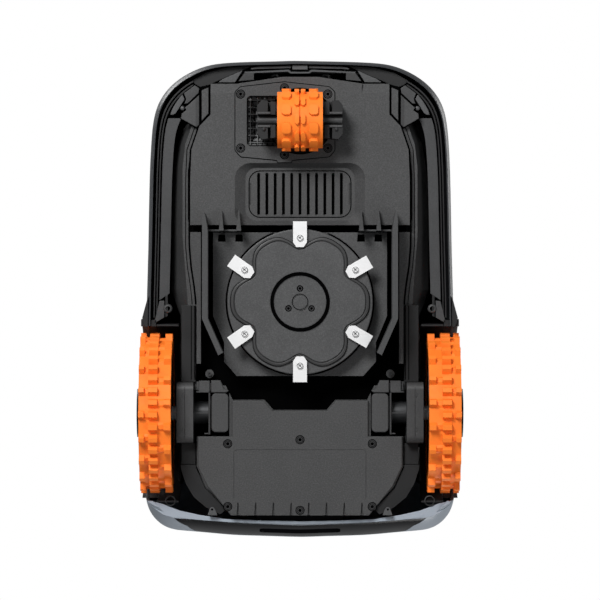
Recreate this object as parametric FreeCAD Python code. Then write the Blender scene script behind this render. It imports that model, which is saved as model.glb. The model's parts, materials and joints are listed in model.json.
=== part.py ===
"""Robotic lawn mower, modelled as an assembly of separate parts, in millimetres.

Frame: +X to the machine's right-hand side of the plan, -Y to the front, +Z up.  The origin is on the
ground, under the middle of the machine.  The machine stands on two driven rear wheels and a front
swivel wheel.  A floating cover sits over a closed chassis tub; the cutting unit hangs in a deck under
the tub and can be raised and lowered by a knob on top.
"""
import FreeCAD, Part
import math
import os

V = FreeCAD.Vector
X_AXIS, Y_AXIS, Z_AXIS = V(1, 0, 0), V(0, 1, 0), V(0, 0, 1)

# ---------------------------------------------------------------- driving dimensions
WALL = 3.0                     # moulded wall thickness
FIT = 0.05                     # radial clearance of running fits
GAP = 0.4                      # gap between parts that only stand next to each other
SEAM = 0.7                     # width of the seam between two panels of the cover

# half outline of the cover in plan, from the middle of the front to the middle of the rear
COVER_OUTLINE = [(0, -272.5), (72, -271), (104, -267.5), (122, -261), (141, -249.5), (155, -235),
                 (164, -217.5), (169, -190), (171, -150), (172, -110), (173, -55), (174.5, 0),
                 (175.5, 70), (176, 140), (177.5, 205), (176, 238), (160, 260), (136, 265),
                 (72, 270.5), (0, 272.5)]
# the same at the cover's lower edge, whose rear corners are cut off at a slant
FOOT_OUTLINE = [(0, -267.5), (70, -266), (101, -262.5), (119, -256), (138, -244.5), (151.5, -230.5),
                (160, -213.5), (165, -187), (167, -148), (168, -110), (169, -55), (170.5, 0),
                (171.5, 70), (172.5, 140), (176, 208), (175, 228), (140, 240), (100, 245),
                (72, 248.5), (0, 251.5)]
COVER_FOOT = 70.0               # height of the cover's lower edge
FRONT_HALF = 121.0              # half width of the front without ridges under the edge

WHEEL_Y, WHEEL_RADIUS = 128.4, 91.0
WHEEL_Z = WHEEL_RADIUS
TYRE_INNER, TYRE_OUTER = 144.4, 180.4     # distances of the tyre's two sides from the middle
TREAD_DEPTH, TREAD_ROWS = 7.0, 40
TYRE_BORE, HUB_FACE = 74.5, 184.8
ARCH_RADIUS, TRIM_WIDTH = WHEEL_RADIUS + 8.0, 8.0
LINER_INNER, LINER_WALL_BOTTOM = 137.4, 151.0
CASE_INNER, CASE_OUTER = 120.4, 139.2

CASTER_Y, CASTER_RADIUS, CASTER_HALF_WIDTH = -202.0, 35.2, 25.5
CASTER_Z = CASTER_RADIUS
YOKE_INNER, YOKE_HALF_WIDTH, YOKE_HALF_LENGTH = 27.3, 48.0, 22.0

BELLY_Z = 62.0                 # underside of the front of the tub
REAR_BELLY_Z = 66.0
DISH_DEPTH = 8.0               # depth of the dished surround of the grille
LEDGE_TOP = 76.5               # top of the low ledge round the tub, under the cover's rails
DECK_CEILING = 98.0
TUB_TOP = 165.0

DISC_Y, DISC_RADIUS = 2.0, 82.0
BLADE_Z, BLADE_THICKNESS = 45.0, 1.0      # cutting height with the unit at rest
BLADE_COUNT, BLADE_PIVOT_RADIUS = 6, 72.0
BLADE_WIDTH, BLADE_OUT, BLADE_IN = 15.6, 18.5, 10.5
BLADE_REST_DEG = {1: 0, 2: 0, 3: 0, 4: 0, 5: -5, 6: 5}   # how far each blade hangs off the radial line
DISC_BOTTOM = BLADE_Z + 5.0
MOTOR_RADIUS = 37.0

GUARD_BOTTOM = 22.0
LENS_X, LENS_Z, LENS_RADIUS, LENS_FRONT = 30.0, 182.0, 11.5, -263.5

KNOB_Y, KNOB_RADIUS, KNOB_SHAFT_RADIUS = 20.0, 24.0, 8.0
STOP_Y, KEYS_Y = 150.0, 96.0
SCREW_HEAD_RADIUS = 4.2


# ---------------------------------------------------------------- helpers
def box(x0, x1, y0, y1, z0, z1):
    return Part.makeBox(x1 - x0, y1 - y0, z1 - z0, V(x0, y0, z0))


def cylinder(radius, start, axis, length):
    return Part.makeCylinder(radius, length, start, axis)


def ring(outer, inner, start, axis, length):
    return cylinder(outer, start, axis, length).cut(cylinder(inner, start, axis, length))


def mirrored(shape):
    return shape.mirror(V(0, 0, 0), X_AXIS)


def fused(shapes):
    first = shapes[0]
    return first.multiFuse(shapes[1:]).removeSplitter() if len(shapes) > 1 else first


def closed(half):
    """The whole outline of a half outline given on the +X side, from front to rear."""
    left = [(-x, y) for x, y in reversed(half) if x > 0]
    return list(half) + left


def polygon_wire(points, z, radius=0.0):
    """A closed wire through the points, its corners rounded where both sides are long enough."""
    points = [p for i, p in enumerate(points) if math.dist(p, points[i - 1]) > 1e-6]
    count = len(points)
    corners = []
    for i in range(count):
        before, here, after = (V(*points[(i + k) % count], z) for k in (-1, 0, 1))
        a, b = (before - here), (after - here)
        turn = math.pi - a.getAngle(b)
        cut = min(radius * math.tan(turn / 2), 0.45 * a.Length, 0.45 * b.Length) if radius else 0
        if cut < 0.05 or turn < 0.05:
            corners.append((here, here, here))
            continue
        a.normalize()
        b.normalize()
        r = cut / math.tan(turn / 2)
        bisector = a + b
        bisector.normalize()
        middle = here + bisector * (r / math.cos(turn / 2) - r)
        corners.append((here + a * cut, middle, here + b * cut))
    edges = []
    for i in range(count):
        start, middle, end = corners[i]
        if (end - start).Length > 1e-6:
            edges.append(Part.Arc(start, middle, end).toShape())
        following = corners[(i + 1) % count][0]
        if (following - end).Length > 1e-6:
            edges.append(Part.LineSegment(end, following).toShape())
    return Part.Wire(edges)


def slab(points, z0, z1, radius=0.0):
    return Part.Face(polygon_wire(points, z0, radius)).extrude(V(0, 0, z1 - z0))


def rectangle(x0, x1, y0, y1):
    return [(x0, y0), (x1, y0), (x1, y1), (x0, y1)]


def side_profile(points, x0, x1):
    """A prism along X of a profile given as (y, z)."""
    wire = Part.makePolygon([V(x0, y, z) for y, z in points + points[:1]])
    return Part.Face(wire).extrude(V(x1 - x0, 0, 0))


def side_box(side, x0, x1, *rest):
    """A box between two distances from the middle, on the right (1) or the left (-1)."""
    right = box(x0, x1, *rest)
    return right if side > 0 else mirrored(right)


def eased(shape, maker, size, pick):
    """The shape with the edges that `pick` chooses eased, or as it is where that can't be done."""
    try:
        made = getattr(shape, maker)(size, [e for e in shape.Edges if pick(e)])
        return made if made.isValid() and made.Volume > 0 else shape
    except Exception:
        return shape


def bevelled(shape, size, pick):
    return eased(shape, "makeChamfer", size, pick)


def filleted(shape, size, pick):
    return eased(shape, "makeFillet", size, pick)


def at_height(z):
    """Picks the level edges at one height."""
    return lambda e: e.BoundBox.ZLength < 1e-3 and abs(e.BoundBox.ZMin - z) < 1e-3


def level_above(z):
    """Picks the level edges above a height."""
    return lambda e: e.BoundBox.ZLength < 1e-3 and e.BoundBox.ZMin > z


def upright(e):
    return e.BoundBox.XLength < 1e-3 and e.BoundBox.YLength < 1e-3


def front_to_rear(e):
    return e.BoundBox.XLength < 1e-3 and e.BoundBox.ZLength < 1e-3


def socket_screw(x, y, z, head=SCREW_HEAD_RADIUS, length=9.0):
    """A screw whose head faces down at z, with a socket in the head."""
    whole = cylinder(head, V(x, y, z), Z_AXIS, 2.4).fuse(cylinder(1.7, V(x, y, z), Z_AXIS, length))
    return whole.cut(cylinder(head * 0.45, V(x, y, z - 1), Z_AXIS, 2.6))


def screw_pockets(places, z, depth):
    """Cutters for the round pockets that screw heads sit in, and for the shanks above them."""
    cutters = [cylinder(SCREW_HEAD_RADIUS + 1.2, V(x, y, z - 1), Z_AXIS, depth + 1) for x, y in places]
    return cutters + [cylinder(1.7 + GAP, V(x, y, z - 1), Z_AXIS, 30) for x, y in places]


NODES = {}
TOPS = {}                      # height of the cover's surface under each control


def keep(name, shape):
    NODES[name] = shape


def largest(shape):
    return max(shape.Solids, key=lambda solid: solid.Volume)


# ---------------------------------------------------------------- cover
# sections of the cover from the bottom up: height, inset at the sides, front and rear, tilt in degrees
COVER_SECTIONS = [(COVER_FOOT, 0, 0, 0, 0), (88, 1, 1, 12, 0), (112, 0, 0, 5, 0), (150, 1, 2, 0, 0),
                  (184, 7, 12, 5, 0.3), (212, 20, 30, 18, 0.8), (233, 38, 54, 38, 1.2),
                  (247, 60, 84, 62, 1.5), (254, 84, 116, 92, 1.6), (256, 104, 142, 118, 1.7)]


def even_points(half, count=64):
    """Evenly spaced points round a whole outline, from the middle of the front."""
    wire = polygon_wire(closed(half), 0, 60)
    return [(p.x, p.y) for p in wire.discretize(Number=count + 1)[:-1]]


def cover_ring(height, side, front, rear, tilt, thinner=0.0, half=None):
    """One section of the cover as a closed spline: a plan outline drawn in by the given insets."""
    half = half or COVER_OUTLINE
    widest, low, high = max(x for x, _ in half), half[0][1], half[-1][1]
    first, last = low + front + thinner, high - rear - thinner
    across = (widest - side - thinner) / widest
    points = []
    for x, y in even_points(half):
        y_new = first + (y - low) / (high - low) * (last - first)
        z = height + math.tan(math.radians(tilt)) * y_new
        points.append(V(x * across, y_new, z))
    curve = Part.BSplineCurve()
    curve.interpolate(points, PeriodicFlag=True)
    return Part.Wire([curve.toShape()])


def cover_solid(thinner=0.0, lower=0.0):
    wires = [cover_ring(COVER_FOOT - lower, 0, 0, 0, 0, thinner, FOOT_OUTLINE)]
    wires += [cover_ring(z - thinner, *insets, thinner) for z, *insets in COVER_SECTIONS[1:]]
    return Part.makeLoft(wires, True, False)


def arch_cutters(radius, inner, outer=200.0):
    """Cylinders that clear the wheels, from `inner` outwards on both sides."""
    right = cylinder(radius, V(inner, WHEEL_Y, WHEEL_Z), X_AXIS, outer - inner)
    below = box(inner, outer, WHEEL_Y - radius, WHEEL_Y + radius, 0, WHEEL_Z)
    right = right.fuse(below)
    return right, mirrored(right)


def top_panel_plan():
    """Plan of the light upper cover: a spine on top that widens to the whole tail."""
    half = [(0, -150), (62, -146), (84, -120), (92, -40), (98, 60), (104, 150), (118, 196),
            (150, 224), (190, 232), (190, 290), (0, 290)]
    return closed(half)


def widened(plan, by):
    """The plan made wider and longer at the front."""
    return [(x + math.copysign(by, x) if x else 0, y - by) for x, y in plan]


def shell_height_at(shell, x, y):
    """Highest point of the shell on the vertical through x, y."""
    line = Part.makeLine(V(x, y, 150), V(x, y, 320))
    common = line.common(shell)
    return max(v.Z for v in common.Vertexes)


def rear_window(smaller):
    """Cutter for the window that the rear panel fills: wide at the foot, narrower above."""
    half = [(0, 75.5 + smaller), (145 - 1.8 * smaller, 75.5 + smaller), (129 - smaller, 98),
            (119 - smaller, 133 - smaller), (0, 133 - smaller)]
    outline = closed(half)
    wire = Part.makePolygon([V(x, 200, z) for x, z in outline + outline[:1]])
    return Part.Face(wire).extrude(V(0, 100, 0))


def make_cover():
    outer = cover_solid()
    inner = cover_solid(WALL, 12)
    shell = outer.cut(inner)
    for cutter in arch_cutters(ARCH_RADIUS, 137.0):
        shell = shell.cut(cutter)
    # openings on top: the height knob's well, the stop button's and the control panel's pockets
    for place, y in (("knob", KNOB_Y), ("stop", STOP_Y), ("keys", KEYS_Y)):
        TOPS[place] = shell_height_at(shell, 0, y)
    shell = shell.cut(cylinder(34, V(0, KNOB_Y, 200), Z_AXIS, 120))
    shell = shell.cut(cylinder(29, V(0, STOP_Y, 200), Z_AXIS, 120))
    shell = shell.cut(slab(rectangle(-44, 44, KEYS_Y - 17, KEYS_Y + 17), 200, 320, 8))
    # front visor window and rear panel window
    visor = filleted(slab(rectangle(-62, 62, -300, -150), 158, 206), 16, front_to_rear)
    port = rear_window(0)
    rear_panel = shell.common(port)
    front_visor = shell.common(visor)
    shell = shell.cut(visor).cut(port)
    plan = top_panel_plan()
    high = slab(plan, 60, 320, 20)
    tail = shell.common(high)
    sides = shell.cut(slab(widened(plan, SEAM), 60, 320, 20))
    keep("tail_cover", tail)
    keep("front_shell", sides)
    # the visor and the rear panel are a little smaller than their windows, for the seam
    smaller = filleted(slab(rectangle(-61.4, 61.4, -300, -150), 158.6, 205.4), 15.5, front_to_rear)
    front_visor = front_visor.common(smaller)
    rear_panel = rear_panel.common(rear_window(0.6))
    make_seam_backing()
    return front_visor, rear_panel, outer


def make_seam_backing():
    """Thin strips inside the cover, behind the seams between its panels."""
    layer = cover_solid(WALL + 0.2, 12).cut(cover_solid(WALL + 1.8, 12))
    plan = top_panel_plan()
    high = slab(widened(plan, 4), 76.5, 320, 20).cut(slab(widened(plan, -4), 76, 321, 20))
    visor = slab(rectangle(-66, 66, -300, -150), 154, 210)
    visor = visor.cut(slab(rectangle(-57, 57, -301, -149), 163, 201))
    rear = rear_window(-4).cut(rear_window(5))
    strips = layer.common(high.fuse(visor).fuse(rear))
    strips = strips.common(box(-200, 200, -300, 300, 76.5, 320))
    for cutter in arch_cutters(ARCH_RADIUS + TRIM_WIDTH + 2, 136.0):
        strips = strips.cut(cutter)
    keep("seam_backing", strips)


def cover_band(inset_out, inset_in, z0, z1, y_first=-300.0, y_last=20.0):
    """A band under the cover's edge between two insets of the plan outline, at the front and sides."""
    def wire(inset):
        return cover_ring(z0, 4 + inset, 5 + inset, 22 + inset, 0)
    band = Part.Face(wire(inset_out)).extrude(V(0, 0, z1 - z0))
    band = band.cut(Part.Face(wire(inset_in)).extrude(V(0, 0, z1 - z0)))
    return band.common(box(-200, 200, y_first, y_last, z0, z1))


def make_cover_parts():
    front_visor, rear_panel, outer = make_cover()
    # lens openings in the visor
    lenses = []
    for x in (-LENS_X, LENS_X):
        front_visor = front_visor.cut(cylinder(LENS_RADIUS, V(x, -290, LENS_Z), Y_AXIS, 60))
        lens = cylinder(LENS_RADIUS - GAP / 2, V(x, LENS_FRONT, LENS_Z), Y_AXIS, 14)
        lenses.append(filleted(lens, 2.0, lambda e: abs(e.BoundBox.YMin - LENS_FRONT) < 0.1
                               and e.BoundBox.YLength < 1e-3))
    keep("front_visor", front_visor)
    keep("camera_lenses", Part.makeCompound(lenses))
    # charging socket in the rear panel: a recess with a back wall
    slot = filleted(slab(rectangle(-46, 46, 240, 300), 88, 107), 5, front_to_rear)
    rear_panel = rear_panel.cut(slot)
    pocket = box(-48.5, 48.5, 238, 268, 85.5, 109.5).cut(box(-46, 46, 240.5, 280, 88, 107))
    keep("rear_panel", rear_panel.fuse(pocket.common(cover_solid(WALL / 2, 12))))
    contacts = [box(x - 9, x + 9, 240.7, 247, 94.5, 100.5) for x in (-24, 24)]
    keep("charging_contacts", Part.makeCompound(contacts))
    # ridges and flange under the cover's edge
    lips = fused([cover_band(5.2, 6.7, 73, 96), cover_band(6.7, 9.6, 92, 96),
                  cover_band(8.2, 9.6, 75, 92)])
    lips = lips.cut(box(-FRONT_HALF, FRONT_HALF, -300, -200, 60, 90))
    keep("bumper_lip", largest(lips))
    flange = cover_band(11.4, 23, 78.5, 81).fuse(cover_band(11.4, 13, 81, 96))
    right = flange.common(box(0, 200, -206, 20, 70, 100))
    slant = slab([(135, 20), (135, -16), (160.5, 1), (180, 14), (180, 20)], 70, 100)
    right = right.cut(slant)
    keep("cover_rails", Part.makeCompound([right, mirrored(right)]))
    # inner edge of the wheel arches, standing a little proud of the cover
    arch = ring(ARCH_RADIUS + TRIM_WIDTH, ARCH_RADIUS + 1, V(163, WHEEL_Y, WHEEL_Z), X_AXIS, 17)
    arch = arch.cut(box(130, 190, 0, 300, 0, 74)).common(box(130, 190, 0, 226, 60, 230))
    arch = arch.cut(outer.common(box(130, 200, 0, 300, 60, 300)).cut(
        cover_solid(WALL + GAP, 12)))
    # the flare in front of the wheel, outside the cover
    flare = slab([(166, -12), (171, -8), (178.6, 20), (177, 27), (173.5, 33), (169, 33), (166, 20)],
                 COVER_FOOT + 1, 104, 2)
    flare = flare.cut(cylinder(ARCH_RADIUS + 1, V(130, WHEEL_Y, WHEEL_Z), X_AXIS, 60))
    flare = bevelled(flare, 1.5, at_height(104)).cut(cover_solid(-GAP / 2, 12))
    trims = [s for s in arch.cut(flare).Solids if s.Volume > 500]
    trims.append(largest(flare))
    keep("arch_trims", Part.makeCompound(trims + [mirrored(s) for s in trims]))
    make_arch_liners()


def make_arch_liners():
    """Wheel houses: an arc over each wheel, closed towards the middle above the drive unit."""
    axle = V(0, WHEEL_Y, WHEEL_Z)
    arc = ring(ARCH_RADIUS + 3, ARCH_RADIUS + 1, axle + V(LINER_INNER, 0, 0), X_AXIS, 25)
    wall = cylinder(ARCH_RADIUS + 3, axle + V(LINER_INNER, 0, 0), X_AXIS, 2)
    wall = wall.common(box(LINER_INNER, 150, 0, 300, LINER_WALL_BOTTOM, 240))
    liner = arc.fuse(wall).common(cover_solid(WALL + GAP, 12))
    liner = largest(liner.common(box(LINER_INNER, LINER_INNER + 25, 0, 300, COVER_FOOT + 5, 240)))
    keep("arch_liners", Part.makeCompound([liner, mirrored(liner)]))


# ---------------------------------------------------------------- chassis
LOW_HALF = [(0, -252), (20, -252), (70, -244.5), (101, -244.5), (101, -209.5), (113.5, -196.5),
            (122.5, -170), (124, -136), (124, -62), (122, -38), (118.5, -15), (116.7, 2), (116.7, 188),
            (106, 211.5), (80, 238.4), (0, 242.3)]
MID_HALF = [(0, -244), (74, -240), (100, -226), (114, -211), (123, -196), (130, -176), (133, -150),
            (133, -72), (129, -22), (126, 20), (125, 195), (112, 216), (90, 230), (0, 232)]
HIGH_HALF = [(0, -244), (76, -240), (104, -226), (121, -211), (132, -196), (139, -178), (144, -150),
             (146.5, -100), (146.5, -12), (141.5, 4), (136, 18), (136, 190), (120, 214), (92, 230),
             (0, 232)]
DECK_HALF = [(0, -84.7), (126.5, -84.7), (126.5, -76.7), (112, -76.7), (112, 72), (118, 72),
             (118, 92), (84, 97), (76, 113), (40, 113), (30, 124.5), (0, 124.5)]


def drawn_in(half, by):
    return [(max(0, x - by) if x else 0, y + by if y < 0 else y - by) for x, y in half]


def make_tub():
    low, mid, high = closed(LOW_HALF), closed(MID_HALF), closed(HIGH_HALF)
    sides = Part.makeLoft([polygon_wire(mid, LEDGE_TOP - 2), polygon_wire(high, 106)], True, True)
    body = fused([slab(low, BELLY_Z, LEDGE_TOP), sides, slab(high, 106, TUB_TOP)])
    # rear floor is a little higher than the front belly
    body = body.cut(box(-130, 130, 72, 260, 50, REAR_BELLY_Z))
    # inside
    lower = slab(closed(drawn_in(LOW_HALF, WALL + 1)), REAR_BELLY_Z + WALL, LEDGE_TOP - WALL)
    middle = slab(closed(drawn_in(MID_HALF, 2 * WALL)), REAR_BELLY_Z + WALL, 110)
    inside = fused([lower, middle, slab(closed(drawn_in(HIGH_HALF, WALL)), 109, TUB_TOP + 1)])
    inside = inside.cut(box(-130, 130, -90, 130, 60, DECK_CEILING + WALL))
    inside = inside.cut(slab(rectangle(-68, 46, -252, -160), 60, 88 + WALL))
    inside = inside.cut(box(-82, 82, -162, -78, 60, 80))
    body = body.cut(inside)
    # deck, its side ledges and the pocket over the swivel wheel
    body = body.cut(slab(closed(DECK_HALF), 50, DECK_CEILING))
    body = body.cut(box(-130, -112, -76.7, 72, 50, 63.5)).cut(box(112, 130, -76.7, 72, 50, 63.5))
    well = fused([caster_well(0), cylinder(38, V(0, CASTER_Y, 50), Z_AXIS, 38)])
    body = body.cut(well)
    recess = polygon_wire(PLATE_OUTLINE, 50, 4).makeOffset2D(0.7)
    body = body.cut(Part.Face(recess).extrude(V(0, 0, BELLY_Z + 2 - 50)))
    # dished surround of the grille, with sloping sides, and the grille's seat
    dish = Part.makeLoft([polygon_wire(rectangle(-73.6, 73.6, -154.7, -82), BELLY_Z - 0.01, 18),
                          polygon_wire(rectangle(-61.7, 61.7, -149.5, -90), BELLY_Z + DISH_DEPTH, 12)],
                         True, True)
    body = body.cut(dish)
    seat = BELLY_Z + DISH_DEPTH
    body = body.cut(slab(rectangle(-57.6, 57.6, -146, -93.6), 60, seat + 4.5, 12))
    body = body.cut(slab(rectangle(-53, 53, -143, -97), 60, 95, 8))
    # chamfered front corners of the belly
    for side in (1, -1):
        wedge = side_profile([(-262, 55), (-234, 55), (-234, BELLY_Z), (-262, BELLY_Z + 14)], 70, 104)
        body = body.cut(wedge if side > 0 else mirrored(wedge))
    # bays of the two drive units, and the battery opening
    bay = fused([box(119.5, 150, 90, 168, 40, 150), box(80, 125, 102, 154, 50, 120),
                 cylinder(12, V(100, WHEEL_Y, WHEEL_Z), X_AXIS, 60)])
    body = body.cut(bay).cut(mirrored(bay))
    body = body.cut(slab(rectangle(-85, 85, 167, 227.5), 50, 90, 6))
    # bore for the swivel wheel's stem, in a boss; hole for the cutting motor; knob shaft hole
    boss = ring(14, 8 + FIT, V(0, CASTER_Y, 85), Z_AXIS, 35)
    body = body.fuse(boss).cut(cylinder(8 + FIT, V(0, CASTER_Y, 80), Z_AXIS, 45))
    body = body.cut(cylinder(MOTOR_RADIUS + 1.0, V(0, DISC_Y, 80), Z_AXIS, 30))
    body = body.fuse(ring(MOTOR_RADIUS + 4, MOTOR_RADIUS + 1, V(0, DISC_Y, DECK_CEILING), Z_AXIS, 22))
    body = body.cut(Part.makeCompound(screw_pockets(BATTERY_SCREWS, REAR_BELLY_Z, 2.5)))
    body = body.cut(Part.makeCompound(screw_pockets(CASTER_SCREWS, BELLY_Z, 3.0)))
    for s in (-1, 1):
        body = body.fuse(ring(4.8, 1.9, V(s * DECK_SCREW_X, DECK_SCREW_Y, 77), Z_AXIS, 22))
    keep("chassis_tub", largest(body))


def caster_well(draw):
    """The pocket left of the swivel wheel, with sloping walls; `draw` makes it smaller all round."""
    mouth = polygon_wire(rectangle(-62.5 + draw, 24, CASTER_Y - 31 + draw, CASTER_Y + 31 - draw), 50, 5)
    lip = polygon_wire(rectangle(-62.5 + draw, 24, CASTER_Y - 31 + draw, CASTER_Y + 31 - draw), BELLY_Z, 5)
    floor = polygon_wire(rectangle(-53 + draw, 24, CASTER_Y - 19 + draw, CASTER_Y + 19 - draw),
                         84 - draw, 2)
    return Part.makeLoft([mouth, lip], True, True).fuse(Part.makeLoft([lip, floor], True, True))


CASTER_SCREWS = [(x, CASTER_Y + y) for x in (-67, 31.5) for y in (-30.5, 30.5)] + [
    (-17.5, CASTER_Y - 37.5), (-17.5, CASTER_Y + 38)]
DECK_SCREW_X, DECK_SCREW_Y = 102.5, 83.6
BATTERY_SCREWS = [(s * 81.6, y) for s in (-1, 1) for y in (162.4, 233.4)] + [(0, 157.8), (0, 237.6)]


def plate_outline():
    x0, x1, middle, y0 = -73, 39, -17.5, CASTER_Y
    far = [(x1, y0 + 33), (x1 - 6, y0 + 40), (middle + 8, y0 + 44), (middle + 8, y0 + 46.5),
           (middle - 8, y0 + 46.5), (middle - 8, y0 + 44), (x0 + 6, y0 + 40), (x0, y0 + 33)]
    near = [(x0, y0 - 33), (x0 + 6, y0 - 38.5), (middle, y0 - 44), (x1 - 6, y0 - 38.5), (x1, y0 - 33)]
    return near + far


PLATE_OUTLINE = plate_outline()


def make_caster_plate():
    y0 = CASTER_Y
    plate = slab(PLATE_OUTLINE, BELLY_Z - 0.8, BELLY_Z + 1.8, 4)
    opening = fused([caster_well(2.4), cylinder(37.6, V(0, y0, 50), Z_AXIS, 30)])
    plate = plate.cut(opening)
    pockets = [cylinder(SCREW_HEAD_RADIUS + 1.0, V(x, y, BELLY_Z - 3), Z_AXIS, 4.2)
               for x, y in CASTER_SCREWS]
    pockets += [cylinder(1.7 + GAP / 2, V(x, y, 50), Z_AXIS, 20) for x, y in CASTER_SCREWS]
    plate = plate.cut(Part.makeCompound(pockets))
    # the pocket beside the wheel is ribbed in a grid
    space = caster_well(1.2).common(box(-70, 24, -300, 0, BELLY_Z, 100))
    liner = space.cut(caster_well(2.4).common(box(-70, 24, -300, 0, 40, 100)))
    ribbed = caster_well(2.3).cut(caster_well(4.4)).common(box(-70, 20, -300, 0, BELLY_Z + 2.4, 100))
    ribs = [box(-70, 20, y0 + 8 * k - 0.5, y0 + 8 * k + 0.5, 50, 100) for k in range(-3, 4)]
    ribs += [box(x - 0.5, x + 0.5, -300, -100, 50, 100) for x in (-56, -48, -40)]
    liner = liner.fuse(ribbed.common(fused(ribs))).cut(cylinder(37.6, V(0, y0, 40), Z_AXIS, 60))
    plate = plate.fuse(liner)
    keep("caster_plate", largest(plate))


def make_grille():
    bottom = BELLY_Z + DISH_DEPTH
    frame = slab(rectangle(-57.1, 57.1, -145.5, -94.1), bottom, bottom + 4, 11.6)
    slots = [slab(rectangle(9.36 * k - 1.6, 9.36 * k + 1.6, -143.9, -95.7), 60, 85, 1.4)
             for k in range(-5, 6)]
    frame = frame.cut(Part.makeCompound(slots))
    for x in (-56, 56):
        frame = frame.cut(box(x - 0.7, x + 0.7, -132, -108, 60, bottom + 1.5))
    keep("vent_grille", frame)


# plan of the guard beside the disc, with a tapered front end and a slanted rear end
GUARD = [(103.3, 20.5), (103.3, -78), (105.4, -92), (107.2, -98), (108.8, -98), (109.7, -90), (109.8, 21),
         (91.6, 62), (86.4, 59)]


def make_deck():
    """The tray that the disc turns in, and a guard with a comb at each side of it."""
    half = [(0, -76.5), (98.5, -76.5), (98.5, 18), (86, 48), (86, 69.8), (71.7, 86), (0, 86)]
    pan = slab(closed(half), 72, DECK_CEILING - GAP).cut(
        slab(closed(drawn_in(half, 2.5)), 75, DECK_CEILING))
    pan = pan.cut(cylinder(DISC_RADIUS + 2.2, V(0, DISC_Y, 60), Z_AXIS, 16))
    lip = ring(DISC_RADIUS + 5, DISC_RADIUS + 2.2, V(0, DISC_Y, 72), Z_AXIS, 14)
    lip = lip.common(slab(closed(half), 60, 110))
    pan = pan.fuse(lip)
    for x in (69, 88.6):
        for s in (-1, 1):
            pan = pan.cut(slab([(s * x - 3.4, -78), (s * x + 3.4, -78), (s * x + 4.4, -66),
                                (s * x - 4.4, -66)], 60, 80))
    keep("deck_tray", largest(pan))
    guard = slab(GUARD, GUARD_BOTTOM, DECK_CEILING - GAP, 0)
    guard = bevelled(guard, 1.2, at_height(GUARD_BOTTOM))
    guard = guard.cut(box(90, 130, -120, -84.2, BELLY_Z - GAP, 120))
    fins = []
    for x in (69, 88.6):
        fin = side_profile([(-101, 56), (-79, 40), (-78, 40), (-78, 61.6), (-101, 61.6)], x - 2.8, x + 2.8)
        taper = slab([(x - 0.5, -102), (x + 0.5, -102), (x + 2.8, -77), (x - 2.8, -77)], 30, 80)
        fins.append(fin.common(taper))
    web = box(66.5, 108.5, -79.6, -77.6, 60, 71.5)
    comb = fused([guard, web] + fins)
    keep("deck_guard_right", comb)
    keep("deck_guard_left", mirrored(comb))


def make_battery_cover():
    half = [(0, 125), (31, 125), (41, 113.6), (77, 113.6), (77, 154), (115.5, 154), (115.5, 188),
            (104.5, 210.5), (78, 243.2), (0, 243.2)]
    z = REAR_BELLY_Z - 5
    cover = slab(closed(half), z, z + 4.4, 0)
    cover = bevelled(cover, 0.8, at_height(z))
    cover = cover.cut(Part.makeCompound(
        [cylinder(SCREW_HEAD_RADIUS + 1.0, V(x, y, z - 1), Z_AXIS, 3.6) for x, y in BATTERY_SCREWS]
        + [cylinder(1.7 + GAP / 2, V(x, y, z - 1), Z_AXIS, 12) for x, y in BATTERY_SCREWS]))
    groove = slab(rectangle(-75, 75, 169, 226), z - 1, z + 0.5, 4).cut(
        slab(rectangle(-74.2, 74.2, 169.8, 228), z - 2, z + 2, 3.6))
    cover = cover.cut(groove.cut(box(-80, 80, 224, 240, 40, 80)))
    slots = [slab([(x - 0.5, 229), (x + 0.5, 229), (x + 1.7, 245), (x - 1.7, 245)], z - 1, z + 3)
             for x in [20 * k + 10 for k in range(-4, 4)]]
    cover = cover.cut(Part.makeCompound(slots))
    keep("battery_cover", cover)
    screws = [socket_screw(x, y, z + 0.2) for x, y in BATTERY_SCREWS]
    screws += [socket_screw(x, y, BELLY_Z - 1.4) for x, y in CASTER_SCREWS]
    screws += [socket_screw(s * DECK_SCREW_X, DECK_SCREW_Y, 74.6, 2.6, 20) for s in (-1, 1)]
    keep("belly_screws", Part.makeCompound(screws))
    pack = filleted(box(-84, 84, 170, 222, REAR_BELLY_Z + WALL + 0.5, 132), 6, upright)
    keep("battery_pack", pack)


def make_inside():
    chip_corners = ((-60, -200), (10, -220), (-20, -150), (40, -180))
    chips = [box(x, x + 18, y, y + 18, 152, 155) for x, y in chip_corners]
    keep("main_board", fused([box(-85, 85, -225, -100, 150, 152)] + chips))
    lid = slab(closed(HIGH_HALF), TUB_TOP, TUB_TOP + WALL, 0)
    rim = slab(closed(drawn_in(HIGH_HALF, WALL + 0.4)), TUB_TOP - 5, TUB_TOP).cut(
        slab(closed(drawn_in(HIGH_HALF, 2 * WALL + 0.4)), TUB_TOP - 6, TUB_TOP + 1))
    lid = lid.fuse(rim)
    for side in (-1, 1):
        lid = lid.cut(side_box(side, 119, 150, 89, 169, 140, 171))
    lid = lid.cut(cylinder(KNOB_SHAFT_RADIUS + FIT, V(0, KNOB_Y, 150), Z_AXIS, 30))
    posts = [Part.makeCone(9, 6, 26, V(x, y, TUB_TOP + WALL), Z_AXIS)
             for x in (-95, 95) for y in (-150, 190)]
    keep("chassis_lid", fused([lid] + posts))


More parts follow.
